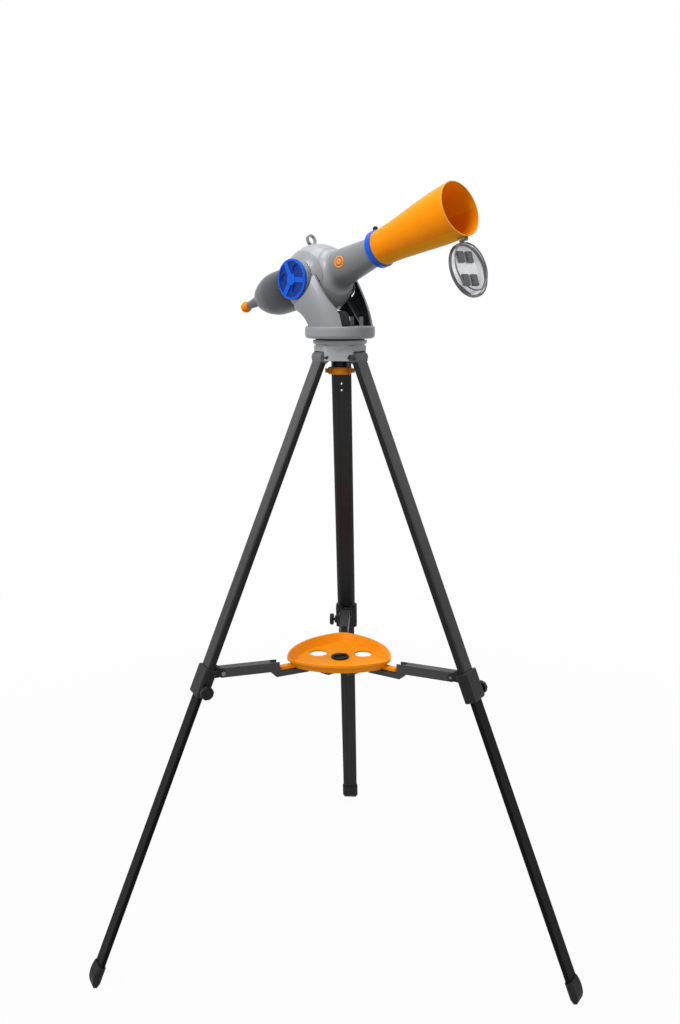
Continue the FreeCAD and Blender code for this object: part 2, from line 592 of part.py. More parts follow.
def fork_arm(side):
    """One arm: round cheek that continues the ball, and a thin moulded leg with ribs inside. Side -1 is the near one."""
    inner = FORK_HALF_GAP
    ball = Part.makeSphere(BALL_RADIUS, vec(-PIVOT_BACK, 0, PIVOT_HEIGHT))
    cheek = ball.common(block(-PIVOT_BACK - 80, -PIVOT_BACK + 80, inner, FORK_FACE, PIVOT_HEIGHT - 80, PIVOT_HEIGHT + 80))
    prism = arm_outline_face().extrude(vec(0, BALL_RADIUS + 6.0 - inner, 0))
    skin = prism.common(arm_hull(0.0)).cut(arm_hull(ARM_SKIN)).cut(ball)
    ribs = []
    for x in (-8.0, 14.0):
        rib = block(x - 4.5, x + 4.5, inner, BALL_RADIUS + 6.0, FLANGE_TOP, FLANGE_TOP + FORK_SCREW_BITE + 3.0)
        ribs.append(rib.common(prism).common(arm_hull(0.5)))
    web = block(-70.0, 40.0, inner, FORK_FACE + 2.0, -1.2, 1.2)
    web = turned(web, 50.0, (0, 1, 0))
    web = shifted(web, -8.0, 0, 1118.0)
    ribs.append(web.common(prism).common(arm_hull(0.5)).cut(ball))
    boss = rod(BOSS_RADIUS, FORK_FACE - 1.0, KNOB_INNER - RUN, "y", (-PIVOT_BACK, PIVOT_HEIGHT))
    boss = bevelled(boss, 0.8, lambda e, m: abs(m.y - KNOB_INNER + RUN) < 0.01)
    flat = rod(BOSS_RADIUS + 2.0, FORK_FACE, BALL_RADIUS + 8.0, "y", (-PIVOT_BACK, PIVOT_HEIGHT))
    arm = fused([cheek, skin.cut(flat)] + ribs + [boss])
    arm = arm.cut(rod(TILT_SHAFT_RADIUS + SHAFT_RUN, inner - 1, BALL_RADIUS + 8.0, "y", (-PIVOT_BACK, PIVOT_HEIGHT)))
    for x, y in FORK_SCREW_PLACES:
        if y > 0:
            arm = arm.cut(rod(FORK_SCREW_RADIUS, FLANGE_TOP - 1, FLANGE_TOP + FORK_SCREW_BITE, "z", (x, y)))
    if side < 0:
        arm = arm.mirror(vec(0, 0, 0), vec(0, 1, 0))
    return arm


def fork_screws():
    """Two screws up through the turntable into each arm."""
    screws = []
    for x, y in FORK_SCREW_PLACES:
        shank = rod(FORK_SCREW_RADIUS, FLANGE_BOTTOM + 3.0, FLANGE_TOP + FORK_SCREW_BITE, "z", (x, y))
        head = rod(FORK_SCREW_HEAD, FLANGE_BOTTOM, FLANGE_BOTTOM + 3.0, "z", (x, y))
        screws.append(fused([shank, head]))
    return screws


# ---- telescope, drawn about the tilt axis, +X forward, +Z up, near side at -Y
def ball_and_tube():
    """Hollow ball between the arms with the conical tube growing out of its front."""
    rear = math.radians(135.0)
    high = math.radians(88.0)
    front = math.radians(43.0)
    inside = BALL_RADIUS - SHELL
    start = (BALL_RADIUS * math.cos(rear), BALL_RADIUS * math.sin(rear))
    steps = [(BALL_RADIUS * math.cos(high), BALL_RADIUS * math.sin(high), BALL_RADIUS * math.cos(front), BALL_RADIUS * math.sin(front)),
             (48.6, 34.0, 57.0, TUBE_START_RADIUS - 0.6), (TUBE_END + 1.0, TUBE_END_RADIUS), (TUBE_END + 1.0, TUBE_END_RADIUS - SHELL),
             (57.0, TUBE_START_RADIUS - SHELL - 0.7), (inside * math.cos(front), inside * math.sin(front)),
             (inside * math.cos(high), inside * math.sin(high), inside * math.cos(rear), inside * math.sin(rear))]
    shell = lathe_curved(start, steps)
    half = FORK_HALF_GAP - RUN
    shell = shell.common(block(-80, 200, -half, half, -80, 80))
    # flat side walls where the shell is cut by the gap
    side = math.sqrt(BALL_RADIUS ** 2 - half ** 2)
    for sign in (-1, 1):
        wall = rod(side, min(sign * half, sign * (half - SHELL)), max(sign * half, sign * (half - SHELL)), "y")
        shell = shell.fuse(wall.common(Part.makeSphere(BALL_RADIUS, vec(0, 0, 0))))
    shell = shell.cut(rod(TILT_SHAFT_RADIUS, -half - 1, half + 1, "y"))
    shell = shell.cut(bulb_solid(0.0))
    return shell.removeSplitter()


def bulb_solid(inset):
    """Egg-shaped rear body, turned about an axis that rises a little to the rear."""
    front = BULB_FRONT
    rear = BULB_REAR + inset
    steps = [(front, BULB_FRONT_RADIUS - inset), (-70.0, 37.5 - inset, -104.0, 37.4 - inset), (-129.0, 30.6 - inset, -146.0, 20.8 - inset)]
    steps.append((rear, BULB_REAR_RADIUS - inset))
    steps.append((rear, 0.0))
    body = lathe_curved((front, 0.0), steps)
    body.rotate(vec(BULB_REAR, 0, 0), vec(0, 1, 0), BULB_LEAN)
    return shifted(body, 0, 0, EYE_OFFSET)


def prism_housing():
    """Hollow rear bulb; its rear end is bored for the eyepiece barrel."""
    body = bulb_solid(0.0)
    hollow = bulb_solid(SHELL)
    body = body.cut(hollow.common(block(BULB_REAR + SHELL + 2.0, BULB_FRONT - SHELL, -60, 60, -60, 80)))
    sleeve = ring(BARREL_RADIUS + 3.4, BARREL_RADIUS - 1, BULB_REAR + 1.0, BULB_REAR + 21.0, "x", (0.0, EYE_OFFSET))
    body = body.fuse(sleeve)
    return body.cut(rod(BARREL_RADIUS + SHAFT_RUN, -160.0, -120.0, "x", (0.0, EYE_OFFSET)))


def prism_block():
    """Erecting prism that lifts the light path to the eyepiece axis."""
    outline = [(-52.0, -14.0), (-52.0, 12.0), (-84.0, 30.0), (-96.0, 30.0), (-96.0, 4.0), (-64.0, -14.0)]
    return slab(outline, -13.0, 13.0)


def prism_cradle():
    """Frame under and beside the prism, resting in the bulb."""
    frame = block(-92.0, -56.0, -17.0, 17.0, -24.0, 31.5)
    grown = [(-50.0, -14.0), (-50.0, 12.0), (-84.0, 30.0), (-96.0, 30.0), (-96.0, 4.0), (-64.0, -14.0)]
    frame = frame.cut(slab(grown, -13.0, 13.0))
    windows = block(-100.0, -40.0, -9.0, 9.0, -10.0, 26.0)
    frame = frame.cut(windows)
    return frame.common(bulb_solid(SHELL))


def eyepiece_barrel():
    """Sliding barrel: plain inside the bulb, tapered behind it."""
    outer = [(-187.0, 6.5), (-157.0, 10.0), (-156.6, 10.0), (-156.0, BARREL_RADIUS), (-122.0, BARREL_RADIUS), (-122.0, 7.2),
             (-158.0, 7.2), (-180.0, 4.8), (-187.0, 4.8)]
    return shifted(lathe_x(outer), 0, 0, EYE_OFFSET)


def eye_lens():
    return rod(4.8, -185.0, -181.5, "x", (0.0, EYE_OFFSET))


def field_lens():
    return rod(7.2, -132.0, -128.0, "x", (0.0, EYE_OFFSET))


def eyecup():
    """Soft ball-shaped cup with a sight hole."""
    steps = [(-205.4, 3.6), (-196.0, 9.8, -187.0, 6.4), (-187.0, 3.0)]
    return shifted(lathe_curved((-205.4, 3.0), steps), 0, 0, EYE_OFFSET)


def tube_ring():
    """Blue ring stepping out between the tube and the hood."""
    edge = 1.2
    outer = [(TUBE_END, TUBE_END_RADIUS - SHELL), (TUBE_END, RING_RADIUS - edge), (TUBE_END + edge, RING_RADIUS),
             (TUBE_END + RING_LENGTH - edge, RING_RADIUS), (TUBE_END + RING_LENGTH, RING_RADIUS - edge),
             (TUBE_END + RING_LENGTH, TUBE_END_RADIUS - SHELL)]
    body = lathe_x(outer)
    return body.cut(rod(TUBE_END_RADIUS, TUBE_END - 1, TUBE_END + 1.0, "x"))


def hood_outside(grow):
    """Solid inside the hood's outer surface: a slow curve out, a straight run, a slow curve back in."""
    steps = [(TUBE_END + RING_LENGTH, HOOD_START_RADIUS + grow), (176.0, 29.5 + grow, 205.0, 32.4 + grow), (250.0, 37.7 + grow)]
    steps.append((284.0, 41.0 + grow, HOOD_MOUTH, HOOD_MOUTH_RADIUS + grow))
    steps.append((HOOD_MOUTH, 0.0))
    return lathe_curved((TUBE_END + RING_LENGTH, 0.0), steps)


def lens_hood():
    """Flared hood of even wall."""
    return hood_outside(0.0).cut(hood_outside(-HOOD_WALL))


def hood_rim():
    """Thin bright lip pressed over the mouth of the hood."""
    r = HOOD_MOUTH_RADIUS
    tip = HOOD_MOUTH + LIP_THICK
    return lathe_x([(HOOD_MOUTH, r - HOOD_WALL), (tip, r - HOOD_WALL), (tip, r - 0.6), (tip - 0.6, r), (HOOD_MOUTH, r)])


def lens_cell():
    start = TUBE_END + RING_LENGTH
    return lathe_x([(start, LENS_RADIUS - 2.0), (start, 26.4), (start + 14.0, 26.4), (start + 14.0, LENS_RADIUS - 1.0),
                    (start + 9.0, LENS_RADIUS - 1.0), (start + 9.0, LENS_RADIUS - 2.0)])


def objective_lens():
    """Biconvex doublet seated in its cell."""
    seat = TUBE_END + RING_LENGTH + 9.0
    r = LENS_RADIUS - 1.0
    front = Part.makeSphere(110.0, vec(seat + 4.6 + 2.8 - 110.0, 0, 0))
    body = rod(r, seat, seat + 8.5, "x")
    return body.common(front)


def tube_baffle():
    """Thin ring inside the tube that stops stray light."""
    return ring(25.9, 16.0, 79.0, 80.5, "x")


def sight_ring():
    """Open ring on a short foot on top of the ball."""
    base = math.sqrt(BALL_RADIUS ** 2 - 3.5 ** 2)
    hoop = ring(9.8, 7.0, 1.0, 6.0, "x", (0.0, base + 8.6))
    foot = block(1.0, 6.0, -5.0, 5.0, base - 1.5, base + 1.8)
    socket = Part.makeSphere(BALL_RADIUS, vec(0, 0, 0))
    return fused([hoop, foot]).cut(socket)


def front_bead():
    """Small sighting bead on the blue ring."""
    middle = TUBE_END + RING_LENGTH / 2.0
    post = rod(1.4, RING_RADIUS, RING_RADIUS + 3.0, "z", (middle, 0.0))
    cone = Part.makeCone(2.4, 1.2, 2.4, vec(middle, 0, RING_RADIUS + 3.0), vec(0, 0, 1))
    return fused([post, cone])


def tilt_knob():
    """Blue knob: rim, three-spoke hub and three deep pits."""
    rim = -KNOB_OUTER
    back = -KNOB_INNER
    body = rod(KNOB_RADIUS, rim, back, "y")
    body = bevelled(body, 1.2, lambda e, m: e.Length > 100)
    dish = rod(KNOB_RADIUS - 4.2, rim - 1, rim + 1.4, "y")
    body = body.cut(dish)
    hub = rod(9.5, rim - 1.0, rim + 1.6, "y")
    body = body.fuse(hub)
    for angle in (99.0, 219.0, 339.0):
        spoke = block(0.0, KNOB_RADIUS - 3.6, rim - 0.2, rim + 1.6, -4.2, 4.2)
        body = body.fuse(turned(spoke, -angle, (0, 1, 0)))
        a = math.radians(angle + 60.0)
        pit = rod(8.2, rim - 1, rim + 3.6, "y", (0.56 * KNOB_RADIUS * math.cos(a), 0.56 * KNOB_RADIUS * math.sin(a)))
        body = body.cut(pit)
    for step in range(12):
        a = math.radians(30.0 * step)
        groove = rod(2.4, rim - 1, back + 1, "y", ((KNOB_RADIUS + 1.8) * math.cos(a), (KNOB_RADIUS + 1.8) * math.sin(a)))
        body = body.cut(groove)
    body = body.cut(rod(TILT_SHAFT_RADIUS - 1.0 + SHAFT_RUN, rim + 1.5, back + 1, "y"))
    return body.removeSplitter()


def tilt_bolt():
    """Bolt through both arms and the ball, screwed into the knob."""
    shaft = rod(TILT_SHAFT_RADIUS, -KNOB_INNER + RUN, KNOB_INNER + 1.0, "y")
    end = rod(TILT_SHAFT_RADIUS - 1.0, -KNOB_OUTER + 1.5 + RUN, -KNOB_INNER + 1.0, "y")
    head = rod(13.0, KNOB_INNER, KNOB_INNER + 4.0, "y")
    head = bevelled(head, 1.5, lambda e, m: abs(m.y - KNOB_INNER - 4.0) < 0.01)
    return fused([shaft, end, head])


def cap_bracket():
    """Two small ears under the mouth of the hood and the pin between them."""
    ears = []
    for side in (-1, 1):
        y0 = min(side * 3.2, side * 5.4)
        y1 = max(side * 3.2, side * 5.4)
        ear = slab([(303.0, -41.0), (CAP_HINGE_ALONG + 2.4, -41.6), (CAP_HINGE_ALONG + 2.6, -CAP_HINGE_DROP),
                    (CAP_HINGE_ALONG, -CAP_HINGE_DROP - 2.6), (CAP_HINGE_ALONG - 2.4, -CAP_HINGE_DROP)], y0, y1)
        ears.append(ear)
    pin = rod(CAP_PIN_RADIUS, -5.4, 5.4, "y", (CAP_HINGE_ALONG, -CAP_HINGE_DROP))
    strap = slab([(303.0, -40.0), (CAP_HINGE_ALONG - 3.0, -40.0), (CAP_HINGE_ALONG - 3.6, -44.0), (304.0, -43.4)], -5.4, 5.4)
    piece = fused(ears + [pin, strap])
    return piece.cut(hood_outside(SEAT))


def lens_cap():
    """Shallow dish with a raised rim and a hinge arm that clears the lip of the hood when it closes."""
    front = 2.0 * CAP_HINGE_ALONG - HOOD_MOUTH - LIP_THICK - CAP_SEAT
    back = front - CAP_DEPTH
    centre = -CAP_CENTRE_DROP
    dish = lathe_x([(back, 0.0), (back, CAP_RADIUS - 1.4), (back + 1.0, CAP_RADIUS - 0.3), (back + 2.4, CAP_RADIUS),
                    (front, CAP_RADIUS), (front, CAP_RADIUS - 2.2), (back + 2.6, CAP_RADIUS - 4.4), (back + 2.6, 0.0)])
    dish = shifted(dish, 0, 0, centre)
    knuckle = rod(2.4, -2.8, 2.8, "y", (CAP_HINGE_ALONG, -CAP_HINGE_DROP))
    arm = slab([(CAP_HINGE_ALONG, -CAP_HINGE_DROP + 0.6), (back + 1.0, -CAP_HINGE_DROP + 0.6), (back + 1.0, centre + CAP_RADIUS - 3.0),
                (front - 0.3, centre + CAP_RADIUS - 3.0), (front - 0.3, -CAP_HINGE_DROP - 2.2), (CAP_HINGE_ALONG, -CAP_HINGE_DROP - 2.2)], -2.8, 2.8)
    cap = fused([dish, arm, knuckle])
    return cap.cut(rod(CAP_PIN_RADIUS + SHAFT_RUN, -4, 4, "y", (CAP_HINGE_ALONG, -CAP_HINGE_DROP)))


def cap_blocks():
    """Four moulded blocks inside the cap, two by two."""
    blocks = []
    for y in (-11.5, 9.0):
        for z in (-15.0, 20.0):
            height = 17.0
            floor = 2.0 * CAP_HINGE_ALONG - HOOD_MOUTH - LIP_THICK - CAP_SEAT - CAP_DEPTH + 2.6
            pad = block(floor, floor + 3.8, y - 6.5, y + 6.5, z - CAP_CENTRE_DROP - height / 2.0, z - CAP_CENTRE_DROP + height / 2.0)
            blocks.append(bevelled(pad, 1.2, lambda e, m: m.x > floor + 3.7))
    return blocks


# ---- placing
def on_leg(shape, name):
    """From the hanging leg to its spread place."""
    tilted = turned(shape, -LEG_TILT, (0, 1, 0))
    tilted.translate(vec(HINGE_RADIUS, 0, HINGE_HEIGHT))
    tilted.rotate(vec(0, 0, 0), vec(0, 0, 1), LEG_ANGLES[name])
    return tilted


def on_spoke(shape, name):
    return turned(shape, LEG_ANGLES[name])


def on_fork(shape):
    return turned(shape, -PAN_REST)


def on_telescope(shape):
    tilted = turned(shape, -TILT_REST, (0, 1, 0))
    tilted.translate(vec(-PIVOT_BACK, 0, PIVOT_HEIGHT))
    tilted.rotate(vec(0, 0, 0), vec(0, 0, 1), -PAN_REST)
    return tilted


def group(shapes):
    return Part.makeCompound(list(shapes))


def all_nodes():
    """Every node in the tripod frame, before the move to the footprint's middle."""
    nodes = {}
    nodes["tripod_head"] = tripod_head()
    nodes["leg_hinge_pins"] = group(leg_hinge_pins())
    nodes["pan_washer"] = pan_washer()
    nodes["pan_clamp_knob"] = pan_clamp()
    nodes["pan_clamp_collar"] = clamp_collar()
    for name in LEG_ANGLES:
        nodes["leg_upper_" + name] = on_leg(upper_tube(), name)
        nodes["leg_knuckle_" + name] = on_leg(leg_knuckle(), name)
        nodes["leg_rivets_" + name] = on_leg(leg_rivets(), name)
        nodes["leg_collar_" + name] = on_leg(collar(), name)
        nodes["arm_pin_" + name] = on_leg(arm_pin(), name)
        nodes["leg_lock_" + name] = on_leg(leg_lock(), name)
        nodes["leg_lower_" + name] = on_leg(lower_tube(), name)
        nodes["foot_" + name] = on_leg(foot_boot(), name)
        nodes["spreader_arm_" + name] = on_spoke(spreader_arm(), name)
    nodes["spreader_hub"] = spreader_hub()
    nodes["accessory_tray"] = accessory_tray()
    nodes["tray_knob"] = turned(tray_knob(), 20.0)
    nodes["fork_base"] = on_fork(fork_base())
    nodes["fork_arm_near"] = on_fork(fork_arm(-1))
    nodes["fork_arm_far"] = on_fork(fork_arm(1))
    nodes["fork_screws"] = on_fork(group(fork_screws()))
    nodes["tilt_knob"] = on_telescope(tilt_knob())
    nodes["tilt_bolt"] = on_telescope(tilt_bolt())
    nodes["ball_and_tube"] = on_telescope(ball_and_tube())
    nodes["prism_housing"] = on_telescope(prism_housing())
    nodes["prism_block"] = on_telescope(prism_block())
    nodes["prism_cradle"] = on_telescope(prism_cradle())
    nodes["eyepiece_barrel"] = on_telescope(eyepiece_barrel())
    nodes["eye_lens"] = on_telescope(eye_lens())
    nodes["field_lens"] = on_telescope(field_lens())
    nodes["eyecup"] = on_telescope(eyecup())
    nodes["tube_ring"] = on_telescope(tube_ring())
    nodes["tube_baffle"] = on_telescope(tube_baffle())
    nodes["lens_hood"] = on_telescope(lens_hood())
    nodes["hood_rim"] = on_telescope(hood_rim())
    nodes["lens_cell"] = on_telescope(lens_cell())
    nodes["objective_lens"] = on_telescope(objective_lens())
    nodes["sight_ring"] = on_telescope(sight_ring())
    nodes["front_bead"] = on_telescope(front_bead())
    nodes["cap_bracket"] = on_telescope(cap_bracket())
    nodes["lens_cap"] = on_telescope(lens_cap())
    nodes["cap_blocks"] = on_telescope(group(cap_blocks()))
    return nodes


def footprint_shift(nodes):
    """Move that brings the middle of the footprint to the origin and the feet to z = 0."""
    box = FreeCAD.BoundBox()
    for shape in nodes.values():
        box.add(shape.optimalBoundingBox(False))
    return vec(-(box.XMin + box.XMax) / 2.0, -(box.YMin + box.YMax) / 2.0, -box.ZMin)


def main():
    os.makedirs("parts", exist_ok=True)
    nodes = all_nodes()
    move = footprint_shift(nodes)
    print("shift %.4f %.4f %.4f" % (move.x, move.y, move.z))
    for name, shape in nodes.items():
        shape.translate(move)
        if not shape.isValid() or not shape.Solids:
            print("not valid:", name)
        shape.exportStep("parts/" + name + ".step")


if __name__ == "__main__":
    main()
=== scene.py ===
import bpy
import bmesh
import json
import math
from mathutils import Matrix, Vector


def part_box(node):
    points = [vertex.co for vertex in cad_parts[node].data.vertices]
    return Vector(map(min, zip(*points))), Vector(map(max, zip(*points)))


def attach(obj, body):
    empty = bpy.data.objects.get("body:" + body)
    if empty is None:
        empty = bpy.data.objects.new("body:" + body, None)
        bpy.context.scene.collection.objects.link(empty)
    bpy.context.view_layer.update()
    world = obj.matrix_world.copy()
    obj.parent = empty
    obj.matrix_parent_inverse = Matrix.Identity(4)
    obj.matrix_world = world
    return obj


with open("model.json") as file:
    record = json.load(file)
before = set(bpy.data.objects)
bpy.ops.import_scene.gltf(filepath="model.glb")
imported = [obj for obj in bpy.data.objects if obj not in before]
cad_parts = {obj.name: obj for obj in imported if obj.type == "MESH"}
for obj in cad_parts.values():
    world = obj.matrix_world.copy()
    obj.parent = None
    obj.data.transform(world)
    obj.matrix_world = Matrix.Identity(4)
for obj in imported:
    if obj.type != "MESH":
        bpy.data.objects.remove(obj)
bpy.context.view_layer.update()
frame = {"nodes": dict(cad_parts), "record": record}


nodes = frame["nodes"]


# ---- places read from the frame, in metres
WASHER_RISE = 1.068          # pan washer above the point that light and camera are placed from
UP = Vector((0, 0, 1))
LEGS = ("rear", "left", "right")


def joint(name):
    for j in frame["record"]["behaviour"]["joints"]:
        if j["name"] == name:
            return j
    raise KeyError(name)


def middle(name):
    low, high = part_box(name)
    return Vector([(low[i] + high[i]) / 2 for i in range(3)])


washer_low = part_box("pan_washer")[0]
AXIS = Vector((*middle("pan_washer").xy, washer_low[2] - WASHER_RISE))
PIVOT = Vector(joint("tilt")["pos_m"])
SIDE = Vector(joint("tilt")["axis"])
AHEAD = -Vector(joint("eyepiece_slide")["axis"])
LIFT = AHEAD.cross(SIDE)
if LIFT.z < 0:
    LIFT = -LIFT
cap_middle = middle("lens_cap")


def on_tube(along, side, lift):
    """Point of the telescope: along its axis, towards the knob, and above the axis."""
    return PIVOT + AHEAD * along + SIDE * side + LIFT * lift


# ---- nodes that the materials share
def new_material(name):
    mat = bpy.data.materials.new(name)
    mat.use_nodes = True
    tree = mat.node_tree
    tree.nodes.clear()
    out = tree.nodes.new("ShaderNodeOutputMaterial")
    bsdf = tree.nodes.new("ShaderNodeBsdfPrincipled")
    tree.links.new(bsdf.outputs[0], out.inputs[0])
    coord = tree.nodes.new("ShaderNodeTexCoord")
    return mat, tree, bsdf, coord


def noise(tree, vector, scale, detail=3.0, rough=0.55):
    node = tree.nodes.new("ShaderNodeTexNoise")
    node.inputs["Scale"].default_value = scale
    node.inputs["Detail"].default_value = detail
    node.inputs["Roughness"].default_value = rough
    tree.links.new(vector, node.inputs["Vector"])
    return node.outputs["Fac"]


def remap(tree, value, low, high, from_low=0.3, from_high=0.7):
    node = tree.nodes.new("ShaderNodeMapRange")
    node.inputs["From Min"].default_value = from_low
    node.inputs["From Max"].default_value = from_high
    node.inputs["To Min"].default_value = low
    node.inputs["To Max"].default_value = high
    tree.links.new(value, node.inputs["Value"])
    return node.outputs["Result"]


def two_tone(tree, value, first, second):
    """Mix of two colours. The first may also be the output of another node."""
    node = tree.nodes.new("ShaderNodeMix")
    node.data_type = "RGBA"
    tree.links.new(value, node.inputs["Factor"])
    if isinstance(first, tuple):
        node.inputs["A"].default_value = (*first, 1.0)
    else:
        tree.links.new(first, node.inputs["A"])
    node.inputs["B"].default_value = (*second, 1.0)
    return node.outputs["Result"]


def bump(tree, height, strength, distance):
    node = tree.nodes.new("ShaderNodeBump")
    node.inputs["Strength"].default_value = strength
    node.inputs["Distance"].default_value = distance
    tree.links.new(height, node.inputs["Height"])
    return node.outputs["Normal"]


def stretched(tree, coord):
    """Object coordinates squeezed along z, so that noise runs in long streaks along it."""
    squeeze = tree.nodes.new("ShaderNodeMapping")
    squeeze.inputs["Scale"].default_value = DRAWN_SQUEEZE
    tree.links.new(coord.outputs["Object"], squeeze.inputs["Vector"])
    return squeeze.outputs[0]


def travel(tree, coord, obj, origin, direction):
    """Distance along a direction of the rest pose, in the object's own space: it moves with it."""
    place = obj.matrix_world
    local = place.to_3x3().inverted() @ Vector(direction).normalized()
    start = Vector(direction).normalized().dot(place.translation - Vector(origin))
    dot = tree.nodes.new("ShaderNodeVectorMath")
    dot.operation = "DOT_PRODUCT"
    dot.inputs[1].default_value = local
    tree.links.new(coord.outputs["Object"], dot.inputs[0])
    add = tree.nodes.new("ShaderNodeMath")
    add.operation = "ADD"
    add.inputs[1].default_value = start
    tree.links.new(dot.outputs["Value"], add.inputs[0])
    return add.outputs[0]


# ---- kinds of material
FLOW_SCALE = 9.0
POLISH_SCALE = 70.0
SKIN_HEIGHT = 0.0004
GLOW_TINT = (1.0, 0.42, 0.06)
GLOW_DEPTH = 0.012
DRAWN_SCALE = 900.0
DRAWN_SQUEEZE = (-1.0, -1.0, 0.02)
DRAWN_HEIGHT = 0.0003
TARNISH_SCALE = 30.0
BLOOM_SCALE = 40.0
BLOOM_SHADE = 0.93


def shades(color, tone):
    """A darker and a lighter shade of a colour."""
    dark = tuple(max(c * (1.0 - tone), 0.0) for c in color)
    light = tuple(min(c * (1.0 + tone), 1.0) for c in color)
    return dark, light


def plastic(name, color, rough=0.38, spread=0.06, tone=0.06, grain=1400.0, depth=0.05,
            coat=0.0, shine=0.5, fade=None, glow=0.0):
    """Moulded plastic: faint flow tones, fine skin texture, uneven polish.

    fade = (object, origin, direction, start, end, second colour) changes the colour along a
    direction, and glow is the share of light that goes through the wall.
    """
    mat, tree, bsdf, coord = new_material(name)
    vector = coord.outputs["Object"]
    flow = noise(tree, vector, FLOW_SCALE, 4.0)
    base = two_tone(tree, remap(tree, flow, 0.0, 1.0), *shades(color, tone))
    if fade is not None:
        obj, origin, direction, start, end, other = fade
        share = travel(tree, coord, obj, origin, direction)
        base = two_tone(tree, remap(tree, share, 0.0, 1.0, start, end), base, other)
    tree.links.new(base, bsdf.inputs["Base Color"])
    if glow > 0.0:
        bsdf.inputs["Subsurface Weight"].default_value = glow
        bsdf.inputs["Subsurface Radius"].default_value = GLOW_TINT
        bsdf.inputs["Subsurface Scale"].default_value = GLOW_DEPTH
    polish = noise(tree, vector, POLISH_SCALE, 5.0, 0.65)
    uneven = remap(tree, polish, rough - spread, rough + spread)
    tree.links.new(uneven, bsdf.inputs["Roughness"])
    skin = noise(tree, vector, grain, 2.0)
    tree.links.new(bump(tree, skin, depth, SKIN_HEIGHT), bsdf.inputs["Normal"])
    bsdf.inputs["Specular IOR Level"].default_value = shine
    bsdf.inputs["Coat Weight"].default_value = coat
    bsdf.inputs["Coat Roughness"].default_value = 0.12
    return mat


def metal(name, color, rough=0.3, tone=0.1):
    """Metal with fine drawn lines along its z axis and slight tarnish."""
    mat, tree, bsdf, coord = new_material(name)
    lines = noise(tree, stretched(tree, coord), DRAWN_SCALE, 4.0, 0.6)
    tarnish = noise(tree, coord.outputs["Object"], TARNISH_SCALE, 4.0)
    tint = two_tone(tree, remap(tree, tarnish, 0.0, 1.0), *shades(color, tone))
    tree.links.new(tint, bsdf.inputs["Base Color"])
    tree.links.new(remap(tree, lines, rough - 0.07, rough + 0.09), bsdf.inputs["Roughness"])
    tree.links.new(bump(tree, lines, 0.06, DRAWN_HEIGHT), bsdf.inputs["Normal"])
    bsdf.inputs["Metallic"].default_value = 1.0
    return mat


def glass(name, color):
    """Coated lens glass with a faint bloom."""
    mat, tree, bsdf, coord = new_material(name)
    haze = noise(tree, coord.outputs["Object"], BLOOM_SCALE, 3.0)
    tree.links.new(remap(tree, haze, 0.02, 0.07), bsdf.inputs["Roughness"])
    bloom = tuple(c * BLOOM_SHADE for c in color)
    tint = two_tone(tree, remap(tree, haze, 0.0, 1.0), color, bloom)
    tree.links.new(tint, bsdf.inputs["Base Color"])
    bsdf.inputs["IOR"].default_value = 1.52
    bsdf.inputs["Transmission Weight"].default_value = 0.9
    return mat


def dress(names, mat):
    for name in names:
        obj = nodes[name]
        obj.data.materials.clear()
        obj.data.materials.append(mat)


def dress_where(name, mat, test):
    """Second finish on the faces whose middle and normal pass a test, both given at rest."""
    obj = nodes[name]
    obj.data.materials.append(mat)
    index = len(obj.data.materials) - 1
    place = obj.matrix_world
    turn = place.to_3x3()
    for face in obj.data.polygons:
        if test(place @ face.center, (turn @ face.normal).normalized()):
            face.material_index = index


# ---- materials
DOME_GREY = (0.315, 0.324, 0.336)
TUBE_GREY = (0.185, 0.189, 0.195)
BULB_GREY = (0.095, 0.10, 0.112)
# painted shade: the bulb's dark end next to the ball, where the ball and knob shade it
BULB_PAINTED_SHADE = (0.014, 0.016, 0.021)

hood_orange = plastic("hood_orange", (1.0, 0.27, 0.002), 0.42, shine=0.08, glow=0.15)
# painted light: a lighter orange for the inside of the hood, standing in for light that reaches
# into it
hood_inside_painted_light = plastic("hood_inside_painted_light", (1.0, 0.36, 0.004), 0.45, shine=0.05, glow=0.3)
tray_orange = plastic("tray_orange", (1.0, 0.30, 0.003), 0.42, shine=0.08, glow=0.15)
clamp_orange = plastic("clamp_orange", (0.80, 0.25, 0.008), 0.45, shine=0.14)
cup_orange = plastic("cup_orange", (0.95, 0.24, 0.003), 0.5, shine=0.04)
badge_orange = plastic("badge_orange", (0.80, 0.26, 0.03), 0.5, shine=0.15)
knob_blue = plastic("knob_blue", (0.002, 0.10, 0.64), 0.32, shine=0.2)
# painted shade: a darker blue for the knob's recesses, where shade falls
painted_knob_shade = plastic("knob_recess_painted_shade", (0.002, 0.03, 0.22), 0.4, shine=0.2)
ball_grey = plastic("ball_and_tube_grey", DOME_GREY, 0.42, shine=0.35, coat=0.2,
                    fade=(nodes["ball_and_tube"], PIVOT, AHEAD, 0.047, 0.062, TUBE_GREY))
# the bulb is painted darker towards the ball, as painted shade
bulb_grey = plastic("bulb_grey", BULB_GREY, 0.36, shine=0.3, coat=0.1,
                    fade=(nodes["prism_housing"], PIVOT, AHEAD, -0.115, -0.055, BULB_PAINTED_SHADE))
barrel_grey = plastic("barrel_grey", (0.13, 0.135, 0.14), 0.42, shine=0.35)
fork_grey = plastic("fork_grey", (0.235, 0.242, 0.253), 0.40, shine=0.4, coat=0.2)
flange_grey = plastic("flange_grey", (0.27, 0.277, 0.29), 0.42, shine=0.3)
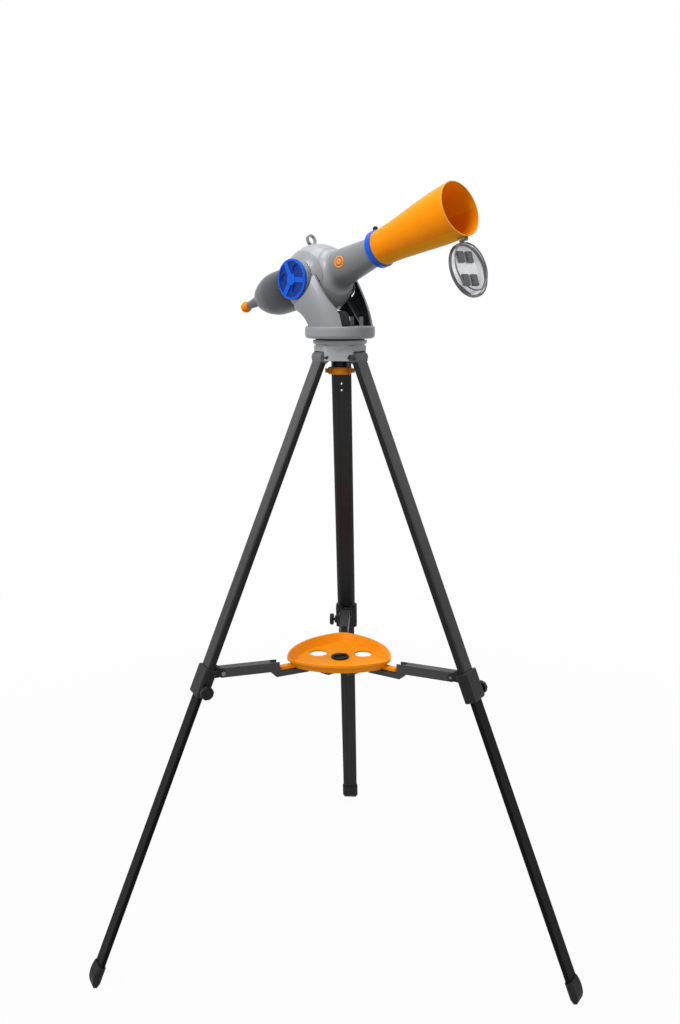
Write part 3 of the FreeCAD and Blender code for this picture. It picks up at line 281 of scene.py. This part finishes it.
# painted shade: a near-black grey for the hollows of the fork arms and the well between them,
# where shade falls
fork_inside_painted_shade = plastic("fork_inside_painted_shade", (0.045, 0.046, 0.05), 0.6, shine=0.15)
head_grey = plastic("head_grey", (0.37, 0.38, 0.395), 0.45, shine=0.35)
knuckle_grey = plastic("knuckle_grey", (0.10, 0.104, 0.11), 0.45, shine=0.35)
black = plastic("black_moulded", (0.011, 0.011, 0.012), 0.42, tone=0.15, shine=0.16)
arm_black = plastic("arm_black", (0.032, 0.032, 0.034), 0.45, tone=0.15, shine=0.4)
rubber = plastic("boot_rubber", (0.010, 0.010, 0.010), 0.65, tone=0.2, grain=700.0,
                 depth=0.12, shine=0.2)
inner = plastic("inner_flock", (0.008, 0.008, 0.008), 0.85, tone=0.2, depth=0.15, shine=0.1)
screw_dark = plastic("screw_dark", (0.02, 0.02, 0.022), 0.4, shine=0.5)
lip = plastic("hood_lip", (0.95, 0.36, 0.03), 0.35, shine=0.2, glow=0.3)
block_grey = plastic("block_grey", (0.10, 0.10, 0.11), 0.45)
cap_silver = metal("cap_silver", (0.66, 0.665, 0.68), 0.38, tone=0.3)
cap_rim = metal("cap_rim", (0.13, 0.13, 0.14), 0.3, tone=0.3)
ring_steel = metal("ring_steel", (0.26, 0.26, 0.27), 0.24, tone=0.3)
steel = metal("steel_pin", (0.16, 0.16, 0.17), 0.35)
brass = metal("dark_brass", (0.22, 0.16, 0.07), 0.35)
rivet_white = metal("rivet_white", (0.85, 0.85, 0.85), 0.35)
lens = glass("lens_glass", (0.9, 0.95, 1.0))


def each_leg(*kinds):
    return [kind + leg for kind in kinds for leg in LEGS]


dress(["lens_hood"], hood_orange)
dress(["hood_rim"], lip)
dress(["pan_clamp_knob"], clamp_orange)
dress(["accessory_tray"], tray_orange)
dress(["eyecup"], cup_orange)
dress(["tilt_knob", "tube_ring"], knob_blue)
dress(["ball_and_tube"], ball_grey)
dress(["prism_housing"], bulb_grey)
dress(["eyepiece_barrel"], barrel_grey)
dress(["fork_arm_near", "fork_arm_far"], fork_grey)
dress(["fork_base"], flange_grey)
dress(["tripod_head"], head_grey)
dress(["pan_clamp_collar", "tray_knob", "pan_washer", "front_bead"], black)
dress(["spreader_hub"] + each_leg("spreader_arm_"), arm_black)
dress(each_leg("foot_"), rubber)
dress(each_leg("leg_collar_", "leg_lock_"), black)
dress(each_leg("leg_knuckle_"), knuckle_grey)
dress(["prism_cradle", "tube_baffle", "lens_cell"], inner)
dress(["sight_ring"], ring_steel)
dress(["lens_cap"], cap_rim)
dress(["cap_bracket"], brass)
dress(["cap_blocks"], block_grey)
dress(["leg_hinge_pins", "fork_screws"], screw_dark)
dress(["tilt_bolt"] + each_leg("arm_pin_"), steel)
dress(each_leg("leg_rivets_"), rivet_white)
dress(["objective_lens", "eye_lens", "field_lens", "prism_block"], lens)

# painted upper tubes, darker towards the foot, and bare lower tubes; the rear lower tube is made
# lighter than the side ones, as painted light where the lamps fall on it
REAR_PAINT_AND_PAINTED_LIGHT = ((0.017, 0.017, 0.018), (0.012, 0.012, 0.013), (0.042, 0.042, 0.043))
SIDE_PAINT = ((0.066, 0.066, 0.068), (0.016, 0.016, 0.017), (0.006, 0.006, 0.006))
PAINT_START = 0.04
PAINT_END = 0.40
for leg in LEGS:
    paint, deep, lower_tone = REAR_PAINT_AND_PAINTED_LIGHT if leg == "rear" else SIDE_PAINT
    fold = joint("leg_fold_" + leg)
    down = -Vector(joint("leg_slide_" + leg)["axis"])
    run = (nodes["leg_upper_" + leg], Vector(fold["pos_m"]), down, PAINT_START, PAINT_END, deep)
    upper_paint = plastic("leg_paint_" + leg, paint, 0.4, tone=0.2, shine=0.22, fade=run)
    dress(["leg_upper_" + leg], upper_paint)
    dress(["leg_lower_" + leg], plastic("leg_inner_" + leg, lower_tone, 0.45, tone=0.2, shine=0.04))
    flank = Vector(fold["axis"])
    # painted shade: both flanks of each upper tube are made near black, as the sides turned from
    # the lamps
    flank_shade_paint = plastic("leg_flank_painted_shade_" + leg, (0.012, 0.012, 0.012), 0.5, tone=0.2, shine=0.12)
    dress_where("leg_upper_" + leg, flank_shade_paint, lambda c, n: abs(n.dot(flank)) > 0.6)
bpy.context.view_layer.update()


# ---- second finishes: painted shade in the knob's recesses and the arms' hollows, painted light inside the hood, and the silver floor of the cap
KNOB_FACE = 0.0632           # the knob's recesses lie nearer to the pivot than this
ARM_WALL = 0.0395            # the hollows of the fork arms lie further out than this
CAP_FLOOR_RADIUS = 0.0375


def struck(obj, start, direction):
    """Where a line from a point of the rest pose first meets a piece, or None."""
    inverse = obj.matrix_world.inverted()
    aim = (inverse.to_3x3() @ direction).normalized()
    hit, where, _, _ = obj.ray_cast(inverse @ start, aim)
    return obj.matrix_world @ where if hit else None


def in_knob_recess(centre, normal):
    return 0.0 < (centre - PIVOT).dot(SIDE) < KNOB_FACE and normal.dot(SIDE) > 0.4


def hollow(name, sign):
    """Test for the faces inside a moulded arm: its own outer skin lies beyond them."""
    def test(centre, normal):
        if sign * (centre - PIVOT).dot(SIDE) < ARM_WALL:
            return False
        return struck(nodes[name], centre + normal * 0.0004, SIDE * sign) is not None
    return test


def hood_inside_faces(centre, normal):
    """True where a face of the hood looks towards the axis of the telescope."""
    out = centre - cap_middle
    out = out - AHEAD * out.dot(AHEAD)
    return out.length > 0.01 and normal.dot(out.normalized()) < -0.5


def on_cap_floor(centre, normal):
    return abs(normal.dot(AHEAD)) > 0.93 and (centre - cap_middle).length < CAP_FLOOR_RADIUS


# the recesses of the knob take the darker blue of painted shade
dress_where("tilt_knob", painted_knob_shade, in_knob_recess)
# the hollows of both arms take the near-black grey of painted shade
dress_where("fork_arm_near", fork_inside_painted_shade, hollow("fork_arm_near", 1.0))
dress_where("fork_arm_far", fork_inside_painted_shade, hollow("fork_arm_far", -1.0))
# the faces inside the hood take the lighter orange of painted light
dress_where("lens_hood", hood_inside_painted_light, hood_inside_faces)
dress_where("lens_cap", cap_silver, on_cap_floor)


# ---- pieces that the frame leaves to the picture
def grown(name, rings, mat, body, close=True):
    """Skin over rings of points, each ring as long as the last."""
    mesh = bpy.data.meshes.new(name)
    bm = bmesh.new()
    rows = [[bm.verts.new(p) for p in ring] for ring in rings]
    for first, second in zip(rows, rows[1:]):
        for i in range(len(first)):
            j = (i + 1) % len(first)
            bm.faces.new((first[i], first[j], second[j], second[i]))
    if close:
        bm.faces.new(rows[0][::-1])
        bm.faces.new(rows[-1])
    else:
        bmesh.ops.remove_doubles(bm, verts=bm.verts, dist=1e-7)
    bmesh.ops.recalc_face_normals(bm, faces=bm.faces)
    bm.to_mesh(mesh)
    bm.free()
    for face in mesh.polygons:
        face.use_smooth = True
    obj = bpy.data.objects.new(name, mesh)
    bpy.context.scene.collection.objects.link(obj)
    mesh.materials.append(mat)
    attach(obj, body)


def circle(centre, axis, radius, steps):
    first = axis.orthogonal().normalized()
    second = axis.cross(first)
    turn = [2.0 * math.pi * k / steps for k in range(steps)]
    return [centre + first * (radius * math.cos(a)) + second * (radius * math.sin(a))
            for a in turn]


def turned_piece(name, centre, axis, profile, mat, body, steps=48):
    """Round piece: profile is a list of (height along the axis, radius)."""
    rings = [circle(centre + axis * h, axis, r, steps) for h, r in profile]
    grown(name, rings, mat, body)


# low round boss over the pan bearing, in the well between the two arms, in the arms' painted shade
FLANGE_TOP = AXIS + UP * 1.091
BOSS_PROFILE = [(-0.001, 0.0178), (0.003, 0.0176), (0.014, 0.0158),
                (0.021, 0.0128), (0.0245, 0.0085), (0.0255, 0.003)]
turned_piece("pan_boss", FLANGE_TOP, UP, BOSS_PROFILE, fork_inside_painted_shade, "fork")

# plain round badge, laid on the side of the tube
BADGE_ALONG = 0.0806
BADGE_LIFT = 0.0016
BADGE_THICK = 0.0004
BADGE_STEPS = 40
BESIDE_TUBE = 0.07


def badge(name, outer_radius, inner_radius):
    rings = []
    for radius, height in ((outer_radius, -BADGE_THICK), (outer_radius, BADGE_THICK),
                           (inner_radius, BADGE_THICK), (inner_radius, -BADGE_THICK)):
        ring = []
        for k in range(BADGE_STEPS):
            angle = 2.0 * math.pi * k / BADGE_STEPS
            start = on_tube(BADGE_ALONG + radius * math.cos(angle), BESIDE_TUBE,
                            BADGE_LIFT + radius * math.sin(angle))
            ring.append(struck(nodes["ball_and_tube"], start, -SIDE) + SIDE * height)
        rings.append(ring)
    grown(name, rings, badge_orange, "tube")


badge("badge_ring", 0.0098, 0.0070)
badge("badge_disc", 0.0054, 0.0004)

# rolled bead on the lip of the cap
BEAD_RADIUS = 0.0362
BEAD_THICK = 0.0012
BEAD_BELOW_LIP = 0.0024
BEAD_SIDES = 12
cap = nodes["lens_cap"]
lip_plane = max((cap.matrix_world @ v.co - cap_middle).dot(AHEAD) for v in cap.data.vertices)
bead_middle = cap_middle + AHEAD * (lip_plane - BEAD_BELOW_LIP)
bead_rings = []
for k in range(BEAD_SIDES + 1):
    angle = 2.0 * math.pi * k / BEAD_SIDES
    bead_rings.append(circle(bead_middle + AHEAD * (BEAD_THICK * math.sin(angle)), AHEAD,
                             BEAD_RADIUS + BEAD_THICK * math.cos(angle), 64))
grown("cap_bead", bead_rings, cap_rim, "cap", close=False)

# round head of the front bead
HEAD_PROFILE = [(-0.0030, 0.0030), (-0.0020, 0.0041), (0.0006, 0.0044),
                (0.0026, 0.0034), (0.0038, 0.0012)]
turned_piece("bead_head", middle("front_bead"), LIFT, HEAD_PROFILE, black, "tube", steps=24)


# ---- floor and background
FLOOR_REACH = 6.0
FLOOR_GREY = (0.5, 0.5, 0.5, 1)
WHITE_NEAR = 0.965           # share of the floor's own white near the object, where shadows fall
WHITE_FAR = 1.0
NEAR_RADIUS = 0.9
FAR_RADIUS = 2.4
SOFT_TINT = (0.95, 0.97, 1.0, 1)
SOFT_STRENGTH = 0.36


def seen_directly(tree):
    """1 for rays that show the background itself: camera, mirror and glass rays."""
    path = tree.nodes.new("ShaderNodeLightPath")
    value = path.outputs["Is Camera Ray"]
    for name in ("Is Glossy Ray", "Is Transmission Ray"):
        most = tree.nodes.new("ShaderNodeMath")
        most.operation = "MAXIMUM"
        tree.links.new(value, most.inputs[0])
        tree.links.new(path.outputs[name], most.inputs[1])
        value = most.outputs[0]
    return value


def light_path_mix(tree, camera_shader, other_shader, share=None):
    """One shader for directly seen rays, in part or whole, and another for the rest."""
    factor = seen_directly(tree)
    if share is not None:
        scale = tree.nodes.new("ShaderNodeMath")
        scale.operation = "MULTIPLY"
        tree.links.new(factor, scale.inputs[0])
        tree.links.new(share, scale.inputs[1])
        factor = scale.outputs[0]
    mix = tree.nodes.new("ShaderNodeMixShader")
    tree.links.new(factor, mix.inputs[0])
    tree.links.new(other_shader.outputs[0], mix.inputs[1])
    tree.links.new(camera_shader.outputs[0], mix.inputs[2])
    return mix


def floor_material():
    mat = bpy.data.materials.new("floor_white")
    mat.use_nodes = True
    tree = mat.node_tree
    tree.nodes.clear()
    out = tree.nodes.new("ShaderNodeOutputMaterial")
    diffuse = tree.nodes.new("ShaderNodeBsdfDiffuse")
    diffuse.inputs["Color"].default_value = FLOOR_GREY
    white = tree.nodes.new("ShaderNodeEmission")
    white.inputs["Strength"].default_value = 1.0
    where = tree.nodes.new("ShaderNodeTexCoord")
    reach = tree.nodes.new("ShaderNodeVectorMath")
    reach.operation = "LENGTH"
    tree.links.new(where.outputs["Object"], reach.inputs[0])
    share = remap(tree, reach.outputs["Value"], WHITE_NEAR, WHITE_FAR, NEAR_RADIUS, FAR_RADIUS)
    mix = light_path_mix(tree, white, diffuse, share)
    tree.links.new(mix.outputs[0], out.inputs[0])
    return mat


mesh = bpy.data.meshes.new("floor")
bm = bmesh.new()
bmesh.ops.create_grid(bm, x_segments=1, y_segments=1, size=FLOOR_REACH)
bm.to_mesh(mesh)
bm.free()
floor = bpy.data.objects.new("floor", mesh)
bpy.context.scene.collection.objects.link(floor)
mesh.materials.append(floor_material())

world = bpy.data.worlds.new("studio")
bpy.context.scene.world = world
world.use_nodes = True
tree = world.node_tree
tree.nodes.clear()
out = tree.nodes.new("ShaderNodeOutputWorld")
seen = tree.nodes.new("ShaderNodeBackground")
seen.inputs["Color"].default_value = (1, 1, 1, 1)
seen.inputs["Strength"].default_value = 1.0
soft = tree.nodes.new("ShaderNodeBackground")
soft.inputs["Color"].default_value = SOFT_TINT
soft.inputs["Strength"].default_value = SOFT_STRENGTH
tree.links.new(light_path_mix(tree, seen, soft).outputs[0], out.inputs[0])


# ---- lamps and camera
AIM = AXIS + UP * 1.15
CAMERA_PLACE = AXIS + Vector((0.0, -1.768, 1.133))
CAMERA_DIP = 11.52           # degrees below level
SENSOR = 36.0
FOCAL_LENGTH = 36.4921875


def area_light(name, place, size, power):
    """Square lamp, given from the tripod's axis, that looks at the telescope."""
    data = bpy.data.lights.new(name, "AREA")
    data.shape = "RECTANGLE"
    data.size = size
    data.size_y = size
    data.energy = power
    obj = bpy.data.objects.new(name, data)
    bpy.context.scene.collection.objects.link(obj)
    obj.location = AXIS + Vector(place)
    obj.rotation_euler = (AIM - obj.location).to_track_quat("-Z", "Y").to_euler()


area_light("key", (-1.5, -1.3, 2.9), 1.3, 64)
area_light("overhead", (0.1, 0.2, 3.4), 1.5, 34)
area_light("fill", (1.9, -1.9, 2.1), 1.2, 13)

camera_data = bpy.data.cameras.new("camera")
camera_data.sensor_width = SENSOR
camera_data.lens = FOCAL_LENGTH
camera_data.clip_start = 0.05
camera = bpy.data.objects.new("camera", camera_data)
bpy.context.scene.collection.objects.link(camera)
camera.location = CAMERA_PLACE
camera.rotation_euler = (math.radians(90.0 - CAMERA_DIP), 0.0, 0.0)
bpy.context.scene.camera = camera
bpy.context.scene.view_settings.view_transform = "Standard"
